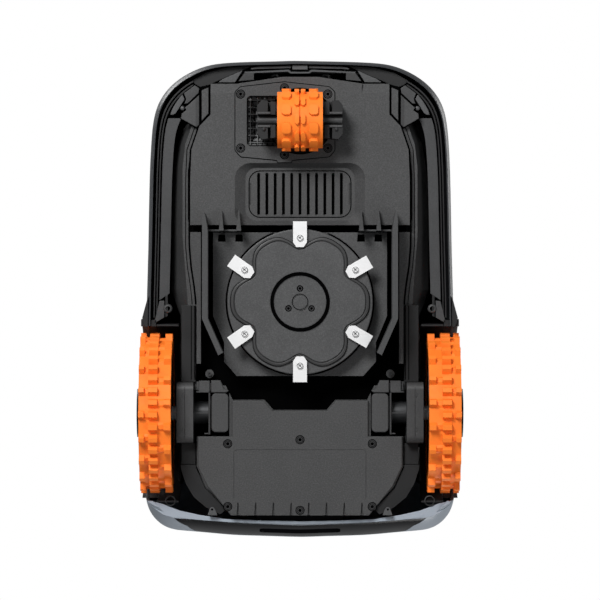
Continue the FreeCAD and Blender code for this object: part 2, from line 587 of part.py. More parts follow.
# ---------------------------------------------------------------- drive units and wheels
def make_drive():
    x0, x1 = CASE_INNER, CASE_OUTER
    case = box(x0, x1, 93, 161.5, 50, 147)
    case = filleted(case, 8, lambda e: abs(e.BoundBox.XLength - (x1 - x0)) < 1e-3)
    case = case.cut(cylinder(8 + FIT, V(100, WHEEL_Y, WHEEL_Z), X_AXIS, 60))
    middle = (x0 + x1) / 2
    for y in (107.5, 147):
        clip = ring(3.4, 2.2, V(middle, y, 49), Z_AXIS, 1.6).common(box(middle, x1, y - 5, y + 5, 48, 52))
        case = case.cut(clip)
    case = case.cut(box(middle - 0.3, middle + 0.3, 92, 164, 49, 50.7))
    keep("gearbox_right", case)
    keep("gearbox_left", mirrored(case))
    neck = cylinder(13, V(102, 127.5, 86), X_AXIS, CASE_INNER - 102)      # ends on the gearbox
    motor = cylinder(18, V(83, 127.5, 86), X_AXIS, 19).fuse(neck)
    keep("drive_motor_right", motor)
    keep("drive_motor_left", mirrored(motor))
    # cover of the motor, with a pointer and a pad in front of it, and the rail beside the opening
    plates = [slab(rectangle(80.8, 100, 105.4, 149.4), 62.6, 66, 5),
              slab([(100.6, 90.6), (90, 90.6), (85.5, 100.5), (79, 102.2), (83.4, 104.6), (100.6, 104.6)],
                   62, 66, 1),
              slab(rectangle(101.8, 114.5, 91, 104), 63, 66, 1),
              box(101.4, 103.4, 104.6, 152, 62, 66), box(103.4, 118.8, 127.2, 128.2, 63.5, 66)]
    plates = [bevelled(p, 0.8, at_height(p.BoundBox.ZMin)).cut(motor) for p in plates]
    keep("motor_frames", Part.makeCompound(plates + [mirrored(q) for q in plates]))


def gear_profile(radius, depth, count, start, share_top, share_base, x0, x1):
    """A prism along X with `count` trapezoid lugs on a ring, centred on the wheel's axle."""
    step = 2 * math.pi / count
    points = []
    for k in range(count):
        middle = start + k * step
        for offset, r in ((-share_base, radius - depth), (-share_top, radius), (share_top, radius),
                          (share_base, radius - depth)):
            a = middle + offset
            points.append(V(x0, WHEEL_Y + r * math.sin(a), WHEEL_Z - r * math.cos(a)))
    wire = Part.makePolygon(points + points[:1])
    return Part.Face(wire).extrude(V(x1 - x0, 0, 0))


def make_wheels():
    row = 2 * math.pi / TREAD_ROWS
    top, base = 2.6 / WHEEL_RADIUS, 5.4 / WHEEL_RADIUS     # half widths of a lug, in radians
    columns = [(TYRE_INNER, 152.3, TREAD_ROWS // 2, row, TREAD_DEPTH),
               (152.3, 159.2, TREAD_ROWS // 2, row, 2.0),
               (159.2, 169.6, TREAD_ROWS, 0, TREAD_DEPTH),
               (169.6, 174.2, TREAD_ROWS // 2, 0, 2.0),
               (174.2, TYRE_OUTER, TREAD_ROWS // 2, 0, TREAD_DEPTH)]
    bands = []
    for x0, x1, count, start, depth in columns:
        low = WHEEL_RADIUS - TREAD_DEPTH
        bands.append(gear_profile(low + depth, depth, count, start, top, base, x0, x1))
    tyre = bands[0].multiFuse(bands[1:])
    tyre = tyre.cut(cylinder(TYRE_BORE, V(140, WHEEL_Y, WHEEL_Z), X_AXIS, 60))
    keep("tyre_right", tyre)
    axle_line = V(0, WHEEL_Y, WHEEL_Z)
    rim = ring(TYRE_BORE - FIT, 70, axle_line + V(146.5, 0, 0), X_AXIS, 32.5)
    rim = rim.fuse(ring(71, 9, axle_line + V(174, 0, 0), X_AXIS, 4))
    rim = rim.fuse(ring(16, 8, axle_line + V(146, 0, 0), X_AXIS, 30))
    spokes = [box(146, 175, WHEEL_Y - 2, WHEEL_Y + 2, WHEEL_Z + 15, WHEEL_Z + 71).rotate(
        axle_line, X_AXIS, k * 72) for k in range(5)]
    rim = fused([rim] + spokes)
    rim = rim.cut(cylinder(8, axle_line + V(140, 0, 0), X_AXIS, 60))
    holes = [ring(60, 44, axle_line + V(170, 0, 0), X_AXIS, 12).common(
        box(160, 190, WHEEL_Y - 13, WHEEL_Y + 13, WHEEL_Z + 20, WHEEL_Z + 70)).rotate(
            axle_line, X_AXIS, 36 + k * 72) for k in range(5)]
    rim = rim.cut(Part.makeCompound(holes))
    keep("rim_right", rim)
    cap = cylinder(29, axle_line + V(178.2, 0, 0), X_AXIS, HUB_FACE - 178.2)
    cap = filleted(cap, 4, lambda e: abs(e.BoundBox.XMin - HUB_FACE) < 1e-2 and e.BoundBox.XLength < 1e-2)
    keep("hub_cap_right", cap)
    shaft = cylinder(8, axle_line + V(123, 0, 0), X_AXIS, 52)
    keep("wheel_axle_right", shaft)
    for name in ("tyre", "rim", "hub_cap", "wheel_axle"):
        keep(name + "_left", mirrored(NODES[name + "_right"]))


def make_caster():
    y, z = CASTER_Y, CASTER_Z
    centre = V(0, y, z)
    tyre = ring(CASTER_RADIUS - 3.6, 22, centre + V(-CASTER_HALF_WIDTH, 0, 0), X_AXIS,
                2 * CASTER_HALF_WIDTH)
    tyre = tyre.cut(ring(CASTER_RADIUS, CASTER_RADIUS - 5, centre + V(-0.8, 0, 0), X_AXIS, 1.6))
    skin = ring(CASTER_RADIUS, CASTER_RADIUS - 5, centre + V(-30, 0, 0), X_AXIS, 60)
    pads = []
    for x, half_width, start in ((-15.3, 5.1, 18), (15.3, 5.1, 18), (-3.5, 2.6, 0), (3.5, 2.6, 0)):
        for k in range(10):
            half = 6.2
            side = [(x - half_width, -half + 2), (x - half_width + 2, -half),
                    (x + half_width - 2, -half),
                    (x + half_width, -half + 2), (x + half_width, half - 2), (x + half_width - 2, half),
                    (x - half_width + 2, half), (x - half_width, half - 2)]
            pad = slab(side, -CASTER_RADIUS - 1, -CASTER_RADIUS + 5)
            pads.append(pad.rotate(V(0, 0, 0), X_AXIS, start + 36 * k).translate(centre).common(skin))
    tyre = tyre.multiFuse(pads)
    keep("caster_tyre", tyre)
    hub = ring(21.95, 5 + FIT, centre + V(-24.5, 0, 0), X_AXIS, 49)
    keep("caster_hub", hub)
    axle_half = YOKE_HALF_WIDTH - 0.5
    keep("caster_axle", cylinder(5, centre + V(-axle_half, 0, 0), X_AXIS, 2 * axle_half))
    parts = []
    for s in (-1, 1):
        inner, outer = YOKE_INNER, YOKE_HALF_WIDTH
        block = slab([(s * inner, y - 20), (s * (outer - 5), y - YOKE_HALF_LENGTH),
                      (s * outer, y - YOKE_HALF_LENGTH + 6), (s * outer, y + YOKE_HALF_LENGTH - 6),
                      (s * (outer - 5), y + YOKE_HALF_LENGTH), (s * inner, y + 20)], 24, 58.5, 0)
        block = block.cut(side_box(s, 20, 60, y - 5.6, y + 5.6, 20, z))
        block = block.cut(cylinder(5, centre + V(-60, 0, 0), X_AXIS, 120))
        block = block.cut(side_box(s, 33, 36, y - 30, y - 8, 20, 50))
        block = block.cut(side_box(s, 33, 36, y + 8, y + 30, 20, 50))
        arm = side_box(s, inner, 33, y - 13, y + 13, 50, 80)
        parts += [block, arm]
    crown = cylinder(35.6, V(0, y, 74), Z_AXIS, 6)
    stem = cylinder(8, V(0, y, 79), Z_AXIS, 46)
    yoke = fused(parts + [crown, stem])
    yoke = yoke.cut(cylinder(5, centre + V(-60, 0, 0), X_AXIS, 120))
    keep("caster_yoke", yoke)


# ---------------------------------------------------------------- cutting unit
def lobed_wire(mean, swing, z):
    """A closed curve with a valley at each blade."""
    points = []
    for k in range(72):
        a = 2 * math.pi * k / 72
        r = mean - swing * math.cos(BLADE_COUNT * a) - 0.22 * swing * math.cos(2 * BLADE_COUNT * a)
        points.append(V(r * math.sin(a), DISC_Y - r * math.cos(a), z))
    curve = Part.BSplineCurve()
    curve.interpolate(points, PeriodicFlag=True)
    return Part.Wire([curve.toShape()])


def blade_pivots():
    for k in range(BLADE_COUNT):
        a = 2 * math.pi * k / BLADE_COUNT
        yield k + 1, a, V(BLADE_PIVOT_RADIUS * math.sin(a), DISC_Y - BLADE_PIVOT_RADIUS * math.cos(a), 0)


def make_cutter():
    centre = V(0, DISC_Y, 0)
    disc = cylinder(DISC_RADIUS, centre + V(0, 0, DISC_BOTTOM), Z_AXIS, 4)
    disc = filleted(disc, 1.2, level_above(0))
    boss = Part.Face(lobed_wire(68.2, 7.6, DISC_BOTTOM - 2.2)).extrude(V(0, 0, 3))
    boss = bevelled(boss, 1.0, at_height(DISC_BOTTOM - 2.2))
    disc = disc.fuse(boss)
    disc = disc.cut(ring(33.5, 29.6, centre + V(0, 0, DISC_BOTTOM - 4), Z_AXIS, 6))
    disc = disc.cut(ring(9.1, 8.5, centre + V(0, 0, DISC_BOTTOM - 4), Z_AXIS, 2.6))
    thirds = [2 * math.pi * k / 3 for k in range(3)]
    hub_screws = [(15 * math.sin(a), DISC_Y - 15 * math.cos(a)) for a in thirds]
    for x, y in hub_screws:
        disc = disc.cut(cylinder(3.7, V(x, y, DISC_BOTTOM - 4), Z_AXIS, 4.8))
        disc = disc.cut(cylinder(1.9, V(x, y, DISC_BOTTOM - 4), Z_AXIS, 12))
    for _, _, p in blade_pivots():
        disc = disc.fuse(cylinder(5, p + V(0, 0, BLADE_Z + BLADE_THICKNESS + 0.15), Z_AXIS, 5))
        disc = disc.cut(cylinder(2.0, p + V(0, 0, 30), Z_AXIS, 30))
    keep("cutting_disc", disc)
    screws = [socket_screw(x, y, DISC_BOTTOM - 1.8, 3.4, 12) for x, y in hub_screws]
    keep("disc_screws", Part.makeCompound(screws))
    shaft = cylinder(12, centre + V(0, 0, DISC_BOTTOM + 4), Z_AXIS, 5)
    shaft = shaft.fuse(cylinder(4, centre + V(0, 0, DISC_BOTTOM + 8), Z_AXIS, 52))
    for x, y in hub_screws:
        shaft = shaft.cut(cylinder(1.9, V(x, y, 40), Z_AXIS, 30))
    keep("disc_spindle", shaft)
    studs = []
    for _, _, p in blade_pivots():
        stud = cylinder(3.8, p + V(0, 0, BLADE_Z - 1.6), Z_AXIS, 1.45)
        stud = stud.fuse(cylinder(3.0, p + V(0, 0, BLADE_Z - 0.2), Z_AXIS, 1.35))
        stud = stud.fuse(cylinder(1.9, p + V(0, 0, BLADE_Z), Z_AXIS, 9))
        studs.append(stud.cut(cylinder(1.5, p + V(0, 0, BLADE_Z - 2), Z_AXIS, 1.4)))
    keep("blade_screws", Part.makeCompound(studs))
    half = BLADE_WIDTH / 2
    outline = [(-half, -BLADE_OUT), (half, -BLADE_OUT), (half, BLADE_IN - 5.5), (half - 3.6, BLADE_IN),
               (-half + 3.6, BLADE_IN), (-half, BLADE_IN - 5.5)]
    for number, a, p in blade_pivots():
        blade = slab(outline, BLADE_Z, BLADE_Z + BLADE_THICKNESS)
        blade = blade.cut(cylinder(3.0 + FIT, V(0, 0, 30), Z_AXIS, 30))
        blade = blade.rotate(V(0, 0, 0), Z_AXIS, math.degrees(a) + BLADE_REST_DEG[number])
        keep(f"blade_{number}", blade.translate(p))
    motor = cylinder(MOTOR_RADIUS, centre + V(0, 0, DISC_BOTTOM + 14), Z_AXIS, 72)
    motor = filleted(motor, 4, level_above(0))
    motor = motor.cut(cylinder(4 + FIT, centre + V(0, 0, 40), Z_AXIS, 76))
    keep("cutting_motor", motor)


# ---------------------------------------------------------------- controls on top
def make_controls():
    knob_top = TOPS["knob"]
    base = knob_top - 12
    knob = cylinder(KNOB_RADIUS, V(0, KNOB_Y, base), Z_AXIS, 15)
    knob = filleted(knob, 2.5, level_above(base + 1))
    for k in range(12):
        a = 2 * math.pi * k / 12
        r = KNOB_RADIUS + 2
        knob = knob.cut(cylinder(3.2, V(r * math.sin(a), KNOB_Y - r * math.cos(a), base - 1), Z_AXIS, 20))
    grip = box(-4, 4, KNOB_Y - 20, KNOB_Y + 20, base + 14, base + 22)
    grip = filleted(grip, 3, upright)
    knob = fused([knob, grip, cylinder(KNOB_SHAFT_RADIUS, V(0, KNOB_Y, 159), Z_AXIS, base - 158)])
    keep("height_knob", knob)
    dial = ring(33.4, 30, V(0, KNOB_Y, base - 3), Z_AXIS, 14).fuse(
        ring(33.4, 14.5, V(0, KNOB_Y, base - 4), Z_AXIS, 3))
    keep("knob_well", dial)
    stop_top = TOPS["stop"]
    collar = ring(33, 23.5, V(0, STOP_Y, stop_top - 0.2), Z_AXIS, 4).fuse(
        ring(28.6, 23.5, V(0, STOP_Y, stop_top - 16), Z_AXIS, 16)).fuse(
            cylinder(28.6, V(0, STOP_Y, stop_top - 19), Z_AXIS, 3))
    keep("stop_collar", collar)
    button = cylinder(23, V(0, STOP_Y, stop_top - 9), Z_AXIS, 19)
    button = filleted(button, 5, level_above(stop_top))
    keep("stop_button", button)
    keys_top = TOPS["keys"]
    floor = keys_top - 9
    panel = slab(rectangle(-43.6, 43.6, KEYS_Y - 16.6, KEYS_Y + 16.6), floor - 3, floor + 9.6, 7.6)
    panel = panel.cut(slab(rectangle(-38, 38, KEYS_Y - 12, KEYS_Y + 12), floor + 3, floor + 30, 4))
    keys = (-22, 0, 22)
    for x in keys:
        panel = panel.cut(cylinder(6.6, V(x, KEYS_Y + 4, floor), Z_AXIS, 30))
    display_cut = slab(rectangle(-30, 30, KEYS_Y - 10.5, KEYS_Y - 5.5), floor + 1.2, floor + 30, 1)
    panel = panel.cut(display_cut)
    keep("control_panel", panel)
    window = rectangle(-29.7, 29.7, KEYS_Y - 10.2, KEYS_Y - 5.8)
    keep("display_window", slab(window, floor + 1.2, floor + 3.4, 0.9))
    for number, x in enumerate(keys, 1):
        key = cylinder(6.0, V(x, KEYS_Y + 4, floor + 1.4), Z_AXIS, 4.4)
        key = filleted(key, 0.8, level_above(floor + 4))
        keep(f"key_{number}", key)


def make_rear_details():
    """Side strips beside the drive units, and the curved struts at the rear corners."""
    strips = [box(118.2, 134, 6, 92.5, 70, 73.6), box(118.2, 134, 162, 186, 70, 73.6)]
    strips.append(slab([(117.7, 186.4), (135, 186.4), (134.4, 192), (129, 208), (120, 223), (106, 234.6),
                        (90, 242.4), (84, 237), (107.2, 212.8), (117.7, 189)], 66.6, 73.6))
    keep("rear_struts", Part.makeCompound(strips + [mirrored(q) for q in strips]))


def main():
    make_cover_parts()
    make_tub()
    make_caster_plate()
    make_grille()
    make_deck()
    make_battery_cover()
    make_inside()
    make_drive()
    make_wheels()
    make_caster()
    make_cutter()
    make_controls()
    make_rear_details()
    os.makedirs("parts", exist_ok=True)
    for name, shape in NODES.items():
        shape.exportStep(f"parts/{name}.step")


main()
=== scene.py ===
"""Looks of the robotic lawn mower: materials, small moulded details, studio and camera.

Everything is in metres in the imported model's own frame: -Y is the machine's front, +Z is up and the
ground is z = 0.  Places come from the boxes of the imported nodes.
"""
import json
import math

import bmesh
import bpy
from mathutils import Matrix, Vector


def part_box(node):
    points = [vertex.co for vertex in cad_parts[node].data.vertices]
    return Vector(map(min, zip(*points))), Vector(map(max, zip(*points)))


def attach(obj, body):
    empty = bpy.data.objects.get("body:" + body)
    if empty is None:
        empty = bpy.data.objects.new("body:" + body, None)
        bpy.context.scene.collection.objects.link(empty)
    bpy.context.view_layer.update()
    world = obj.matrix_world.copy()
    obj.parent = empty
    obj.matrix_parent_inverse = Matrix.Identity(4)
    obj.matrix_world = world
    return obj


MM = 0.001
COAT_ROUGHNESS = 0.08
SHEEN = 0.4            # specular level of the moulded plastics
WELD = 1e-6            # vertices this close together are one
FLAT = 1e-5            # faces this close to the lowest point are the lowest face
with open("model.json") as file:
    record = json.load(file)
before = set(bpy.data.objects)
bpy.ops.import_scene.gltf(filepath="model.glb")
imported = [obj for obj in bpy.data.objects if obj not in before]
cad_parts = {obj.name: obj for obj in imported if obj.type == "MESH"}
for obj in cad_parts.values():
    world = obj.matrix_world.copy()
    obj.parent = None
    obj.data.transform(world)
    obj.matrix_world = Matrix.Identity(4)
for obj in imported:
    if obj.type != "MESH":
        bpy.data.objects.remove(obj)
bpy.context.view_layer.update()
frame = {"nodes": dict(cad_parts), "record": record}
scene = bpy.context.scene


# ---------------------------------------------------------------- shader helpers
class Shader:
    """A material under construction: a Principled shader with a few texture helpers."""

    def __init__(self, name, base, rough, metal=0.0, coat=0.0, specular=0.5):
        self.mat = bpy.data.materials.new(name)
        self.mat.use_nodes = True
        self.nodes = self.mat.node_tree.nodes
        self.links = self.mat.node_tree.links
        self.nodes.clear()
        out = self.nodes.new("ShaderNodeOutputMaterial")
        self.bsdf = self.nodes.new("ShaderNodeBsdfPrincipled")
        self.links.new(self.bsdf.outputs[0], out.inputs[0])
        self.coord = self.nodes.new("ShaderNodeTexCoord").outputs["Object"]
        self.base = (*base, 1.0)
        self.bsdf.inputs["Base Color"].default_value = self.base
        self.bsdf.inputs["Roughness"].default_value = rough
        self.bsdf.inputs["Metallic"].default_value = metal
        self.bsdf.inputs["Specular IOR Level"].default_value = specular
        self.bsdf.inputs["Coat Weight"].default_value = coat
        self.bsdf.inputs["Coat Roughness"].default_value = COAT_ROUGHNESS
        self.normal = None

    def noise(self, scale, detail=3.0, stretch=(1, 1, 1)):
        """Noise in the model's own frame, scale per metre."""
        mapping = self.nodes.new("ShaderNodeMapping")
        mapping.inputs["Scale"].default_value = stretch
        self.links.new(self.coord, mapping.inputs[0])
        noise = self.nodes.new("ShaderNodeTexNoise")
        noise.inputs["Scale"].default_value = scale
        noise.inputs["Detail"].default_value = detail
        self.links.new(mapping.outputs[0], noise.inputs["Vector"])
        return noise.outputs["Fac"]

    def spread(self, value, low, high, start=0.3, end=0.7):
        """Maps start..end of a value to low..high."""
        node = self.nodes.new("ShaderNodeMapRange")
        node.inputs["From Min"].default_value = start
        node.inputs["From Max"].default_value = end
        node.inputs["To Min"].default_value = low
        node.inputs["To Max"].default_value = high
        self.links.new(value, node.inputs["Value"])
        return node.outputs[0]

    def tint(self, fac, colour):
        """Mixes colour over the base colour so far, by fac."""
        mix = self.nodes.new("ShaderNodeMix")
        mix.data_type = "RGBA"
        base = self.bsdf.inputs["Base Color"]
        if base.is_linked:
            self.links.new(base.links[0].from_socket, mix.inputs[6])
        else:
            mix.inputs[6].default_value = self.base
        mix.inputs[7].default_value = (*colour, 1.0)
        self.links.new(fac, mix.inputs[0])
        self.links.new(mix.outputs[2], base)
        return self

    def mottle(self, scale, amount):
        """Uneven colour, from slightly darker to slightly lighter than the base."""
        dark = [c * (1 - amount) for c in self.base[:3]]
        light = [min(1, c * (1 + amount)) for c in self.base[:3]]
        self.base = (*dark, 1.0)
        return self.tint(self.spread(self.noise(scale), 0, 1), light)

    def uneven_gloss(self, scale, low, high):
        """Roughness that wanders between low and high."""
        self.links.new(self.spread(self.noise(scale, 4), low, high), self.bsdf.inputs["Roughness"])
        return self

    def soft_edges(self, radius):
        """Shades the edges as if they were rounded."""
        bevel = self.nodes.new("ShaderNodeBevel")
        bevel.samples = 4
        bevel.inputs["Radius"].default_value = radius
        self.normal = bevel.outputs[0]
        self.links.new(self.normal, self.bsdf.inputs["Normal"])
        return self

    def bump(self, height, strength, distance):
        node = self.nodes.new("ShaderNodeBump")
        node.inputs["Strength"].default_value = strength
        node.inputs["Distance"].default_value = distance
        self.links.new(height, node.inputs["Height"])
        if self.normal:
            self.links.new(self.normal, node.inputs["Normal"])
        self.normal = node.outputs[0]
        self.links.new(self.normal, self.bsdf.inputs["Normal"])
        return self

    def grain(self, scale=2600, strength=0.25, distance=0.00012):
        return self.bump(self.noise(scale, 2), strength, distance)

    def along(self, axis):
        """How far along one axis of the model's own frame, in metres."""
        split = self.nodes.new("ShaderNodeSeparateXYZ")
        self.links.new(self.coord, split.inputs[0])
        return split.outputs[axis]

    def math(self, operation, one, two):
        """A maths node; each value is a number or another node's output."""
        node = self.nodes.new("ShaderNodeMath")
        node.operation = operation
        for socket, value in zip(node.inputs, (one, two)):
            if isinstance(value, (int, float)):
                socket.default_value = value
            else:
                self.links.new(value, socket)
        return node.outputs[0]

    def paint_light_and_shade_by_height(self, low, high, colour, half_width=None):
        """A colour painted by height: between two heights, within half_width of the middle, the surface
        turns to a colour and loses its sheen. A dark colour paints shade into deep recesses; a light one
        paints light into a pocket."""
        fac = self.spread(self.along("Z"), 0, 1, low, high)
        if half_width:
            inside = self.math("LESS_THAN", self.math("ABSOLUTE", self.along("X"), 0), half_width)
            fac = self.math("MULTIPLY", fac, inside)
        shine = self.math("MULTIPLY", self.math("SUBTRACT", 1.0, fac), SHEEN)
        self.links.new(shine, self.bsdf.inputs["Specular IOR Level"])
        return self.tint(fac, colour)



def moulded(name, base, rough=0.5, grain=0.3, mottle=0.06, speckle=0.0, painted_light_and_shade=None):
    """Textured moulded plastic: fine grain and flecks, softened edges, and, where given, light and shade
    painted by height.
    """
    shader = Shader(name, base, rough, specular=SHEEN).mottle(9, mottle)
    if speckle:
        light = [c * (1 + 4 * speckle) for c in base]
        shader.tint(shader.spread(shader.noise(640, 1.0), 0, 0.6, 0.48, 0.66), light)
        dark = [c * (1 - 3 * speckle) for c in base]
        shader.tint(shader.spread(shader.noise(770, 1.0), 0, 0.6, 0.5, 0.66), dark)
    if painted_light_and_shade:
        shader.paint_light_and_shade_by_height(*painted_light_and_shade)
    shader.uneven_gloss(40, rough - 0.06, rough + 0.07)
    return shader.soft_edges(0.0005).grain(strength=grain).mat


def glossy(name, base, rough, coat=0.4, specular=0.5):
    """Polished plastic."""
    shader = Shader(name, base, rough, coat=coat, specular=specular).mottle(6, 0.05)
    shader.uneven_gloss(25, rough - 0.03, rough + 0.05)
    return shader.soft_edges(0.0006).bump(shader.noise(60, 1), 0.05, 0.0003).mat


def rubber(name, base, rough=0.62):
    """Matte rubber with a coarse grain."""
    shader = Shader(name, base, rough, specular=0.3).mottle(30, 0.07)
    shader.uneven_gloss(70, rough - 0.08, rough + 0.1)
    return shader.soft_edges(0.0007).grain(1500, 0.35, 0.0002).mat


def brushed(name, base, rough=0.3, stretch=(1, 40, 1), metal=1.0):
    """Metal with fine streaks along the stretched axis."""
    shader = Shader(name, base, rough, metal=metal).mottle(25, 0.04)
    shader.links.new(shader.spread(shader.noise(90, 3, stretch), rough - 0.1, rough + 0.14),
                     shader.bsdf.inputs["Roughness"])
    return shader.soft_edges(0.00025).bump(shader.noise(260, 2, stretch), 0.12, 0.0001).mat


def tinted_glass(name, base):
    """Dark cover glass."""
    shader = Shader(name, base, 0.04, coat=1.0, specular=0.6)
    return shader.mottle(12, 0.1).bump(shader.noise(40, 1), 0.02, 0.0002).mat


# colour of painted shade
SHADE_BLACK = (0.0015, 0.0015, 0.0016)
BELLY_GREY = (0.046, 0.0463, 0.047)
MATERIALS = {
    "cover_dark": moulded("cover_dark", (0.022, 0.024, 0.027), 0.45, 0.18, speckle=0.08),
    "cover_light": moulded("cover_light", (0.31, 0.35, 0.40), 0.42, 0.12, mottle=0.02),
    "black_gloss": glossy("black_gloss", (0.004, 0.004, 0.005), 0.2, 0.0, 0.07),
    "black_plastic": moulded("black_plastic", (0.005, 0.005, 0.0055), 0.5, 0.25),
    # painted shade: the belly turns black and loses its sheen between 76.5 and 90 mm high, within 121 mm
    # of the middle
    "chassis_grey": moulded("chassis_grey", BELLY_GREY, 0.5, 0.35, speckle=0.14,
                            painted_light_and_shade=(0.0765, 0.090, SHADE_BLACK, 0.121)),
    "rail_grey": moulded("rail_grey", (0.043, 0.0435, 0.045), 0.45, 0.2, speckle=0.08),
    # painted shade: the side guards turn black and lose their sheen between 64 and 72 mm high, within
    # 118 mm of the middle
    "guard_grey": moulded("guard_grey", (0.046, 0.0465, 0.0475), 0.5, 0.3, speckle=0.1,
                          painted_light_and_shade=(0.064, 0.072, SHADE_BLACK, 0.118)),
    "disc_grey": moulded("disc_grey", (0.062, 0.0625, 0.0635), 0.42, 0.2, speckle=0.12),
    # painted shade: a darker grey for the sloping edge of the disc's raised middle
    "slope_shade_grey": moulded("slope_shade_grey", (0.030, 0.030, 0.0305), 0.5, 0.2),
    "pad_grey": moulded("pad_grey", (0.066, 0.067, 0.069), 0.45, 0.2, speckle=0.08),
    # painted light: the belly's grey for the caster plate, turning lighter inside its pocket above 62.5
    # mm, where the sloping walls take little light
    "plate_grey_pocket_light": moulded("plate_grey_pocket_light", BELLY_GREY, 0.5, 0.35, speckle=0.14,
                          painted_light_and_shade=(0.0625, 0.067, (0.16, 0.161, 0.163))),
    # painted shade: black sheets laid in gaps, grooves, holes and sockets where only shade falls
    "shade": Shader("shade", SHADE_BLACK, 0.9, specular=0.0).mottle(30, 0.3).mat,
    "tread_orange": rubber("tread_orange", (1.0, 0.215, 0.02)),
    "steel": brushed("steel", (0.80, 0.80, 0.80), 0.42, metal=0.25),
    "screw_steel": brushed("screw_steel", (0.03, 0.03, 0.031), 0.45, (1, 1, 1), metal=0.3),
    "motor_metal": brushed("motor_metal", (0.045, 0.046, 0.048), 0.5, (1, 1, 1), metal=0.6),
    "board_green": moulded("board_green", (0.012, 0.10, 0.045), 0.35, 0.1),
    "battery_case": moulded("battery_case", (0.02, 0.02, 0.022)),
    "glass_dark": tinted_glass("glass_dark", (0.012, 0.014, 0.022)),
    "stop_red": glossy("stop_red", (0.55, 0.018, 0.01), 0.22),
    "key_grey": rubber("key_grey", (0.2, 0.21, 0.22)),
    "contact_metal": brushed("contact_metal", (0.78, 0.74, 0.64), 0.2),
}
# imported nodes that look different from the rest of their slot
REPAINTED = {"caster_yoke": "black_plastic", "caster_plate": "plate_grey_pocket_light", "blade_screws": "steel"}


def paint_nodes():
    """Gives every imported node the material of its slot."""
    slots = {s["node"]: s["material_slot"] for s in frame["record"]["subparts"]}
    for name, obj in frame["nodes"].items():
        material = MATERIALS[REPAINTED.get(name, slots[name])]
        for index in range(max(1, len(obj.material_slots))):
            if not obj.material_slots:
                obj.data.materials.append(material)
            obj.material_slots[index].link = "OBJECT"
            obj.material_slots[index].material = material


# ---------------------------------------------------------------- mesh helpers
def piece(name, bm, material, body, bevel=0.0, smooth=True):
    """Makes an object of a bmesh, paints it and lets it ride on a body."""
    bmesh.ops.recalc_face_normals(bm, faces=bm.faces)
    mesh = bpy.data.meshes.new(name)
    bm.to_mesh(mesh)
    bm.free()
    obj = bpy.data.objects.new(name, mesh)
    scene.collection.objects.link(obj)
    mesh.materials.append(MATERIALS[material])
    if bevel:
        mod = obj.modifiers.new("edges", "BEVEL")
        mod.width = bevel
        mod.segments = 2
        mod.limit_method = "ANGLE"
    if smooth:
        mesh.polygons.foreach_set("use_smooth", [True] * len(mesh.polygons))
        mod = obj.modifiers.new("normals", "WEIGHTED_NORMAL")
        mod.keep_sharp = True
    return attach(obj, body)


def join_loops(bm, one, two):
    """Faces between two closed loops of as many vertices."""
    for i in range(len(one)):
        j = (i + 1) % len(one)
        bm.faces.new((one[i], one[j], two[j], two[i]))


def add_ring(bm, loops):
    """A closed ring through loops that are joined each to the next, and the last to the first."""
    for one, two in zip(loops, loops[1:] + loops[:1]):
        join_loops(bm, one, two)


def add_solid(bm, low_points, high_points):
    """A solid between two matching outlines."""
    low = [bm.verts.new(p) for p in low_points]
    high = [bm.verts.new(p) for p in high_points]
    bm.faces.new(low)
    bm.faces.new(high)
    join_loops(bm, low, high)


def add_prism(bm, outline, z0, z1):
    """A prism of a plan outline between two heights."""
    add_solid(bm, [(x, y, z0) for x, y in outline], [(x, y, z1) for x, y in outline])


def add_lathe(bm, profile, matrix, steps=48):
    """Turns a profile of (radius, height) about the matrix's Z axis."""
    rows = []
    for k in range(steps):
        a = 2 * math.pi * k / steps
        rows.append([bm.verts.new(matrix @ Vector((r * math.cos(a), r * math.sin(a), h)))
                     for r, h in profile])
    for one, two in zip(rows, rows[1:] + rows[:1]):
        for i in range(len(profile) - 1):
            bm.faces.new((one[i], two[i], two[i + 1], one[i + 1]))


def at(x, y, z):
    return Matrix.Translation((x, y, z))


def rounded(x0, x1, y0, y1, radius, steps=6):
    """Outline of a rectangle with round corners."""
    outline = []
    for cx, cy, start in ((x1 - radius, y1 - radius, 0), (x0 + radius, y1 - radius, 90),
                          (x0 + radius, y0 + radius, 180), (x1 - radius, y0 + radius, 270)):
        for k in range(steps + 1):
            a = math.radians(start + 90 * k / steps)
            outline.append((cx + radius * math.cos(a), cy + radius * math.sin(a)))
    return outline


def flipped(outline):
    """The outline's mirror image on the machine's other side."""
    return [(-x, y) for x, y in reversed(outline)]


def plate(name, outline, z0, z1, material, body, origin=(0, 0, 0), bevel=0.0, both=True):
    """A flat plate of a plan in mm on the left, and its mirror image on the right."""
    bm = bmesh.new()
    ox, oy, oz = origin
    for side in (outline, flipped(outline)) if both else (outline,):
        add_prism(bm, [(ox + x * MM, oy + y * MM) for x, y in side], oz + z0 * MM, oz + z1 * MM)
    return piece(name, bm, material, body, bevel * MM, smooth=False)


def rings(name, centres, profile, material, body, steps=32, turn=Matrix.Identity(4)):
    """The same turned profile of (radius, height) in mm at several places."""
    bm = bmesh.new()
    for centre in centres:
        add_lathe(bm, [(r * MM, h * MM) for r, h in profile], at(*centre) @ turn, steps)
    return piece(name, bm, material, body)


def welded(node):
    """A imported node's mesh with its vertices joined."""
    bm = bmesh.new()
    bm.from_mesh(frame["nodes"][node].data)
    bmesh.ops.remove_doubles(bm, verts=bm.verts, dist=WELD)
    return bm


